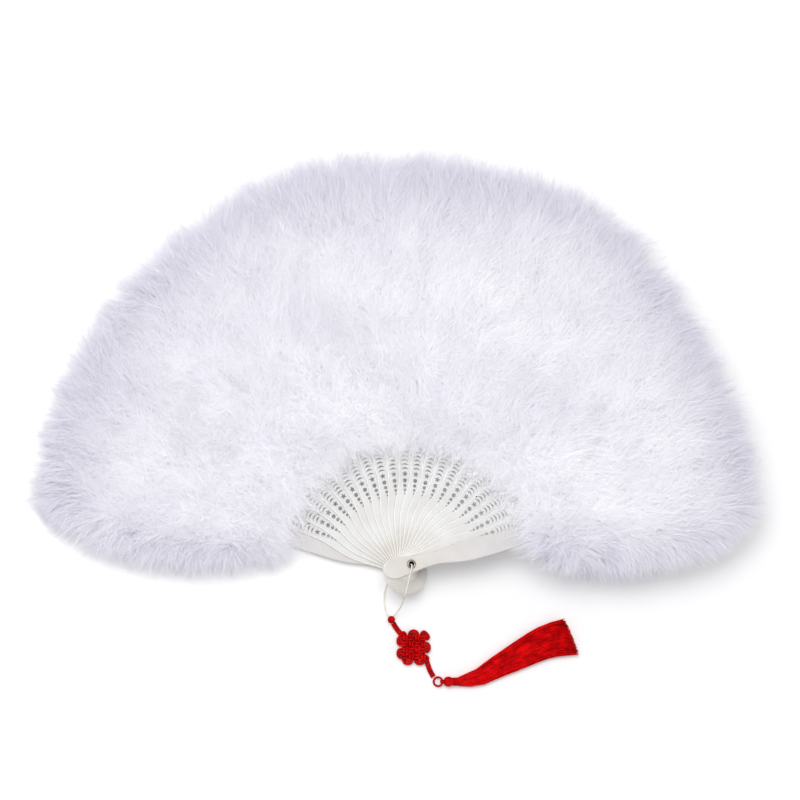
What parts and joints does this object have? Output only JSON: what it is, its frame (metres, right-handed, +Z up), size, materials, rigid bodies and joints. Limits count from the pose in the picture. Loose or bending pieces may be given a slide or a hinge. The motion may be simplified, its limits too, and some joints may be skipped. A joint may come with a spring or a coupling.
{
  "type": "feather folding fan",
  "caption": "Folding hand fan of white down plumes on pierced plastic sticks that turn on an eyelet, with a red knotted tassel on a cord loop.",
  "frame": {"origin": "on the table under the middle of the open fan's box, the cord and tassel left out", "axes": "+Z up off the table and along the pivot, +Y from the pivot to the middle of the fan's rim, +X to the right as the picture shows it"},
  "size_m": [0.4466, 0.3172, 0.0485],
  "materials": {
    "stick_plastic": "satin ivory-white moulded plastic",
    "down": "soft white down with a faint lavender shade",
    "nickel": "dark nickel-plated eyelet",
    "ribbon": "thin white satin ribbon",
    "loop_cord": "twisted off-white cord",
    "red_silk": "glossy deep red rayon cord and thread"
  },
  "bodies": {
    "rear_guard": {"rear_guard": "stick_plastic", "rear_guard_plume": "down", "pivot_eyelet": "nickel", "spacing_ribbon": "ribbon", "hanging_loop": "loop_cord", "tassel_bead": "red_silk", "upper_red_cord": "red_silk", "endless_knot": "red_silk", "lower_red_cord": "red_silk", "tassel_loop": "red_silk", "tassel_head": "red_silk", "tassel_skirt": "red_silk"},
    "stave_01": {"stave_01": "stick_plastic", "plume_01": "down"},
    "stave_02": {"stave_02": "stick_plastic", "plume_02": "down"},
    "stave_03": {"stave_03": "stick_plastic", "plume_03": "down"},
    "stave_04": {"stave_04": "stick_plastic", "plume_04": "down"},
    "stave_05": {"stave_05": "stick_plastic", "plume_05": "down"},
    "stave_06": {"stave_06": "stick_plastic", "plume_06": "down"},
    "stave_07": {"stave_07": "stick_plastic", "plume_07": "down"},
    "stave_08": {"stave_08": "stick_plastic", "plume_08": "down"},
    "stave_09": {"stave_09": "stick_plastic", "plume_09": "down"},
    "stave_10": {"stave_10": "stick_plastic", "plume_10": "down"},
    "stave_11": {"stave_11": "stick_plastic", "plume_11": "down"},
    "stave_12": {"stave_12": "stick_plastic", "plume_12": "down"},
    "stave_13": {"stave_13": "stick_plastic", "plume_13": "down"},
    "stave_14": {"stave_14": "stick_plastic", "plume_14": "down"},
    "stave_15": {"stave_15": "stick_plastic", "plume_15": "down"},
    "stave_16": {"stave_16": "stick_plastic", "plume_16": "down"},
    "stave_17": {"stave_17": "stick_plastic", "plume_17": "down"},
    "stave_18": {"stave_18": "stick_plastic", "plume_18": "down"},
    "stave_19": {"stave_19": "stick_plastic", "plume_19": "down"},
    "stave_20": {"stave_20": "stick_plastic", "plume_20": "down"},
    "stave_21": {"stave_21": "stick_plastic", "plume_21": "down"},
    "front_guard": {"front_guard": "stick_plastic", "front_guard_plume": "down"}
  },
  "joints": [
    {"name": "fan_fold", "type": "hinge", "parent": "rear_guard", "child": "front_guard", "pos_m": [0, -0.113, 0.017], "axis": [0, 0, 1], "range_deg": [0, 151.36], "deforming": ["rear_guard_plume", "plume_01", "plume_02", "plume_03", "plume_04", "plume_05", "plume_06", "plume_07", "plume_08", "plume_09", "plume_10", "plume_11", "plume_12", "plume_13", "plume_14", "plume_15", "plume_16", "plume_17", "plume_18", "plume_19", "plume_20", "plume_21", "front_guard_plume", "spacing_ribbon"]},
    {"name": "stave_01_turn", "type": "hinge", "parent": "rear_guard", "child": "stave_01", "pos_m": [0, -0.113, 0.017], "axis": [0, 0, 1], "range_deg": [0, 6.89]},
    {"name": "stave_02_turn", "type": "hinge", "parent": "rear_guard", "child": "stave_02", "pos_m": [0, -0.113, 0.017], "axis": [0, 0, 1], "range_deg": [0, 13.77]},
    {"name": "stave_03_turn", "type": "hinge", "parent": "rear_guard", "child": "stave_03", "pos_m": [0, -0.113, 0.017], "axis": [0, 0, 1], "range_deg": [0, 20.65]},
    {"name": "stave_04_turn", "type": "hinge", "parent": "rear_guard", "child": "stave_04", "pos_m": [0, -0.113, 0.017], "axis": [0, 0, 1], "range_deg": [0, 27.53]},
    {"name": "stave_05_turn", "type": "hinge", "parent": "rear_guard", "child": "stave_05", "pos_m": [0, -0.113, 0.017], "axis": [0, 0, 1], "range_deg": [0, 34.41]},
    {"name": "stave_06_turn", "type": "hinge", "parent": "rear_guard", "child": "stave_06", "pos_m": [0, -0.113, 0.017], "axis": [0, 0, 1], "range_deg": [0, 41.29]},
    {"name": "stave_07_turn", "type": "hinge", "parent": "rear_guard", "child": "stave_07", "pos_m": [0, -0.113, 0.017], "axis": [0, 0, 1], "range_deg": [0, 48.17]},
    {"name": "stave_08_turn", "type": "hinge", "parent": "rear_guard", "child": "stave_08", "pos_m": [0, -0.113, 0.017], "axis": [0, 0, 1], "range_deg": [0, 55.05]},
    {"name": "stave_09_turn", "type": "hinge", "parent": "rear_guard", "child": "stave_09", "pos_m": [0, -0.113, 0.017], "axis": [0, 0, 1], "range_deg": [0, 61.93]},
    {"name": "stave_10_turn", "type": "hinge", "parent": "rear_guard", "child": "stave_10", "pos_m": [0, -0.113, 0.017], "axis": [0, 0, 1], "range_deg": [0, 68.81]},
    {"name": "stave_11_turn", "type": "hinge", "parent": "rear_guard", "child": "stave_11", "pos_m": [0, -0.113, 0.017], "axis": [0, 0, 1], "range_deg": [0, 75.69]},
    {"name": "stave_12_turn", "type": "hinge", "parent": "rear_guard", "child": "stave_12", "pos_m": [0, -0.113, 0.017], "axis": [0, 0, 1], "range_deg": [0, 82.57]},
    {"name": "stave_13_turn", "type": "hinge", "parent": "rear_guard", "child": "stave_13", "pos_m": [0, -0.113, 0.017], "axis": [0, 0, 1], "range_deg": [0, 89.45]},
    {"name": "stave_14_turn", "type": "hinge", "parent": "rear_guard", "child": "stave_14", "pos_m": [0, -0.113, 0.017], "axis": [0, 0, 1], "range_deg": [0, 96.33]},
    {"name": "stave_15_turn", "type": "hinge", "parent": "rear_guard", "child": "stave_15", "pos_m": [0, -0.113, 0.017], "axis": [0, 0, 1], "range_deg": [0, 103.21]},
    {"name": "stave_16_turn", "type": "hinge", "parent": "rear_guard", "child": "stave_16", "pos_m": [0, -0.113, 0.017], "axis": [0, 0, 1], "range_deg": [0, 110.09]},
    {"name": "stave_17_turn", "type": "hinge", "parent": "rear_guard", "child": "stave_17", "pos_m": [0, -0.113, 0.017], "axis": [0, 0, 1], "range_deg": [0, 116.97]},
    {"name": "stave_18_turn", "type": "hinge", "parent": "rear_guard", "child": "stave_18", "pos_m": [0, -0.113, 0.017], "axis": [0, 0, 1], "range_deg": [0, 123.85]},
    {"name": "stave_19_turn", "type": "hinge", "parent": "rear_guard", "child": "stave_19", "pos_m": [0, -0.113, 0.017], "axis": [0, 0, 1], "range_deg": [0, 130.73]},
    {"name": "stave_20_turn", "type": "hinge", "parent": "rear_guard", "child": "stave_20", "pos_m": [0, -0.113, 0.017], "axis": [0, 0, 1], "range_deg": [0, 137.61]},
    {"name": "stave_21_turn", "type": "hinge", "parent": "rear_guard", "child": "stave_21", "pos_m": [0, -0.113, 0.017], "axis": [0, 0, 1], "range_deg": [0, 144.49]}
  ],
  "couplings": [
    {"joint": "stave_01_turn", "follows": "fan_fold", "ratio": 0.045455},
    {"joint": "stave_02_turn", "follows": "fan_fold", "ratio": 0.090909},
    {"joint": "stave_03_turn", "follows": "fan_fold", "ratio": 0.13636},
    {"joint": "stave_04_turn", "follows": "fan_fold", "ratio": 0.18182},
    {"joint": "stave_05_turn", "follows": "fan_fold", "ratio": 0.22727},
    {"joint": "stave_06_turn", "follows": "fan_fold", "ratio": 0.27273},
    {"joint": "stave_07_turn", "follows": "fan_fold", "ratio": 0.31818},
    {"joint": "stave_08_turn", "follows": "fan_fold", "ratio": 0.36364},
    {"joint": "stave_09_turn", "follows": "fan_fold", "ratio": 0.40909},
    {"joint": "stave_10_turn", "follows": "fan_fold", "ratio": 0.45454},
    {"joint": "stave_11_turn", "follows": "fan_fold", "ratio": 0.5},
    {"joint": "stave_12_turn", "follows": "fan_fold", "ratio": 0.54546},
    {"joint": "stave_13_turn", "follows": "fan_fold", "ratio": 0.59091},
    {"joint": "stave_14_turn", "follows": "fan_fold", "ratio": 0.63636},
    {"joint": "stave_15_turn", "follows": "fan_fold", "ratio": 0.68182},
    {"joint": "stave_16_turn", "follows": "fan_fold", "ratio": 0.72727},
    {"joint": "stave_17_turn", "follows": "fan_fold", "ratio": 0.77273},
    {"joint": "stave_18_turn", "follows": "fan_fold", "ratio": 0.81818},
    {"joint": "stave_19_turn", "follows": "fan_fold", "ratio": 0.86364},
    {"joint": "stave_20_turn", "follows": "fan_fold", "ratio": 0.90909},
    {"joint": "stave_21_turn", "follows": "fan_fold", "ratio": 0.95454}
  ]
}
